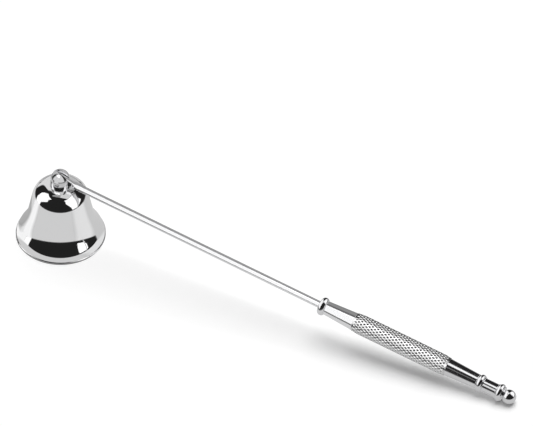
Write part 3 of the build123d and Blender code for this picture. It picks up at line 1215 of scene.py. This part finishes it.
def grid(name, columns, rows, place, share_inside):
    """A sheet: place gives a point for two shares, and share_inside how far it is inside the border."""
    shares = [(i / columns, j / rows) for i in range(columns + 1) for j in range(rows + 1)]
    mesh = new_mesh(name, [place(u, v) for u, v in shares], faces_between(columns + 1, rows + 1))
    mark_inside(mesh, [clamp(share_inside(u, v)) for u, v in shares])
    return mesh


def sphere_part(name, azimuths, elevations, border, centre, radius, settings):
    """Part of a sphere about a point, as CARDS gives it."""
    low, high = azimuths[:2], azimuths[-2:]
    width, height = low[1] - low[0], elevations[1] - elevations[0]

    def place(u, v):
        azimuth = between((between((low[0], high[0]), v), between((low[1], high[1]), v)), u)
        way = direction(settings.azimuth + math.radians(azimuth), math.radians(between(elevations, v)))
        return centre + way * radius

    def share_inside(u, v):
        sides = [height * v, height * (1 - v) if elevations[1] < ZENITH else border]
        sides += [width * u, width * (1 - u)] if width < FULL_TURN else []
        return min(sides) / border if border else 1.0

    return grid(name, math.ceil(width / CARD_STEP), math.ceil(height / CARD_STEP), place, share_inside)


def floor_part(name, azimuths, distances, stretch, border, centre, height, settings):
    """Part of a ring just above the floor, as POOLS gives it: a painted light pool."""
    def place(u, v):
        way = direction(settings.azimuth + math.radians(between(azimuths, u)), 0.0)
        way *= between(distances, v) * MM
        return Vector((centre.x + way.x * stretch, centre.y + way.y, height))

    def share_inside(u, v):
        return min([1 - v] + ([u, 1 - u] if azimuths[1] - azimuths[0] < FULL_TURN else [])) / border

    return grid(name, *POOL_GRID, place, share_inside)


def collection_of(name, pieces):
    """A collection of finished pieces, for a light to be linked to."""
    collection = bpy.data.collections.new(name)
    for piece in pieces:
        collection.objects.link(bpy.data.objects[piece])
    return collection


def mirrored_only(card):
    """The card is seen in the metal and nowhere else."""
    for rays in ("camera", "diffuse", "shadow", "transmission", "volume_scatter"):
        setattr(card, "visible_" + rays, False)


class SNUFFER_OT_stage(Operator):
    """Makes the floor, the cards, the lamp, the surroundings and the camera"""

    bl_idname = "snuffer.stage"
    bl_label = "Set the Stage"

    def execute(self, context):
        settings = context.scene.snuffer.stage
        context.scene.view_settings.view_transform = "Standard"
        self.make_floor(settings)
        self.make_dome(settings)
        self.make_cards(settings)
        self.make_lamp(settings)
        self.make_surroundings(context.scene, settings)
        self.make_camera(context.scene, settings)
        return {"FINISHED"}

    def make_floor(self, settings):
        """A pale floor, which is darker where the metal mirrors it."""
        material, tree = emptied(bpy.data.materials.new("pale_floor"))
        rays = tree.add("ShaderNodeLightPath")
        seen, mirrored = rgba(WHITE, settings.floor_seen), rgba(WHITE, settings.floor_mirrored)
        paint = tree.mix(tree.other(rays, "Is Glossy Ray"), seen, mirrored)
        glow = tree.emission(tree.other(rays, "Is Camera Ray") * settings.floor_glow)
        tree.surface(tree.add("ShaderNodeBsdfDiffuse", None, {"Color": paint}), glow)
        reach = settings.floor_reach
        corners = [(x * reach, y * reach, 0) for x, y in ((-1, -1), (1, -1), (1, 1), (-1, 1))]
        add_piece(new_mesh("floor", corners, [(0, 1, 2, 3)]), material)

    def make_dome(self, settings):
        """The dark dome round the whole object, which only the metal mirrors: a painted dark reflection."""
        material, tree = emptied(bpy.data.materials.new("dark_dome"))
        tree.surface(tree.emission(settings.dome_dark))
        middle = Vector(((BELL_FOOT.x + BALL_CENTRE.x) / 2, 0, 0))
        mesh = sphere_part("dark_dome", (-180, 180), (0, 90), 0, middle, settings.dome_radius, settings)
        mirrored_only(add_piece(mesh, material))

    def make_cards(self, settings):
        """The painted reflections of each group: its cards and pools. No two pools lie at the same height.
        """
        height = settings.pool_step
        for group, (centre, pieces) in GROUPS.items():
            receivers = collection_of("seen_by_" + group, pieces)
            for name, azimuths, elevations, strength, border in CARDS[group]:
                shape = (azimuths, elevations, border, centre, settings.card_radius, settings)
                self.add_card(sphere_part(group + "_" + name, *shape), strength, receivers)
            for name, azimuths, distances, stretch, strength, border in POOLS[group]:
                shape = (azimuths, distances, stretch, border, centre, height, settings)
                self.add_card(floor_part(group + "_pool_" + name, *shape), strength, receivers)
                height += settings.pool_step

    def add_card(self, mesh, strength, receivers):
        """A card of painted reflection that adds its light to what lies behind it."""
        material, tree = emptied(bpy.data.materials.new(mesh.name))
        light = tree.emission(strength, tree.stored("inside", "Color"))
        tree.surface(light, tree.add("ShaderNodeBsdfTransparent"))
        card = add_piece(mesh, material)
        card.light_linking.receiver_collection = receivers
        mirrored_only(card)

    def make_lamp(self, settings):
        """The main lamp, whose shadow only the rod and the handle cast."""
        data = bpy.data.lights.new("key", "SUN")
        data.angle = settings.key_angle
        data.energy = settings.key_strength
        lamp = bpy.data.objects.new("key", data)
        away = direction(settings.azimuth - settings.key_turn + math.pi, math.pi / 2 - settings.key_tilt)
        lamp.rotation_euler = away.to_track_quat("Z", "Y").to_euler()
        lamp.visible_glossy = False
        casting = [pieces for group, (_, pieces) in GROUPS.items() if group not in NO_KEY_SHADOW]
        lamp.light_linking.blocker_collection = collection_of("cast_key_shadow", sum(casting, ()))
        bpy.context.scene.collection.objects.link(lamp)

    def make_surroundings(self, scene, settings):
        """Soft light from all round, which is white where it is seen or mirrored."""
        world, tree = emptied(bpy.data.worlds.new("surroundings"))
        rays = tree.add("ShaderNodeLightPath")
        seen = tree.other(rays, "Is Camera Ray")
        for name in ("Is Glossy Ray", "Is Transmission Ray"):
            seen = tree.math("MAXIMUM", seen, tree.other(rays, name))
        light = {"Color": WHITE, "Strength": settings.ambient + seen * (1 - settings.ambient)}
        tree.add("ShaderNodeOutputWorld", None, {"Surface": tree.add("ShaderNodeBackground", None, light)})
        scene.world = world

    def make_camera(self, scene, settings):
        """The camera, from where the pivot lies on its pixel at the picture's scale."""
        right = Vector((math.cos(settings.azimuth), math.sin(settings.azimuth), 0))
        back = direction(settings.azimuth, settings.elevation)
        focal = settings.lens / settings.sensor * PHOTO_SIZE[0]
        across = (settings.pivot_pixel[0] - PHOTO_SIZE[0] / 2) / focal
        above = (PHOTO_SIZE[1] / 2 - settings.pivot_pixel[1]) / focal
        distance = focal / settings.scale * MM
        place = PIVOT + (back - right * across - back.cross(right) * above) * distance
        data = bpy.data.cameras.new("camera")
        data.lens = settings.lens
        data.sensor_width = settings.sensor
        data.clip_end = CLIP_END
        camera = bpy.data.objects.new("camera", data)
        camera.matrix_world = axis_matrix(place, right, back)
        scene.collection.objects.link(camera)
        scene.camera = camera


# Panel and registration

OPERATORS = {
    "bell": SNUFFER_OT_bell,
    "post": SNUFFER_OT_post,
    "rod": SNUFFER_OT_rod,
    "handle": SNUFFER_OT_handle,
    "knurl": SNUFFER_OT_knurl,
    "finish": SNUFFER_OT_fastening,
    "stage": SNUFFER_OT_stage,
}


class SNUFFER_PT_panel(Panel):
    """Lists the pieces and their sizes"""

    bl_idname = "SNUFFER_PT_panel"
    bl_label = "Candle Snuffer"
    bl_space_type = "VIEW_3D"
    bl_region_type = "UI"
    bl_category = "Snuffer"

    def draw(self, context):
        for group_name, operator in OPERATORS.items():
            box = self.layout.box()
            box.operator(operator.bl_idname)
            group = getattr(context.scene.snuffer, group_name)
            for name in setting_names(group):
                box.prop(group, name)


CLASSES = (
    SNUFFER_PG_bell,
    SNUFFER_PG_post,
    SNUFFER_PG_rod,
    SNUFFER_PG_handle,
    SNUFFER_PG_knurl,
    SNUFFER_PG_finish,
    SNUFFER_PG_stage,
    SNUFFER_PG_settings,
    *OPERATORS.values(),
    SNUFFER_PT_panel,
)


def register():
    """Adds the settings, the operators and the panel."""
    for item in CLASSES:
        bpy.utils.register_class(item)
    bpy.types.Scene.snuffer = PointerProperty(type=SNUFFER_PG_settings)


def unregister():
    """Takes them out again."""
    del bpy.types.Scene.snuffer
    for item in reversed(CLASSES):
        bpy.utils.unregister_class(item)


def main():
    register()
    for operator in OPERATORS.values():
        group, name = operator.bl_idname.split(".")
        getattr(getattr(bpy.ops, group), name)()


if __name__ == "__main__":
    main()
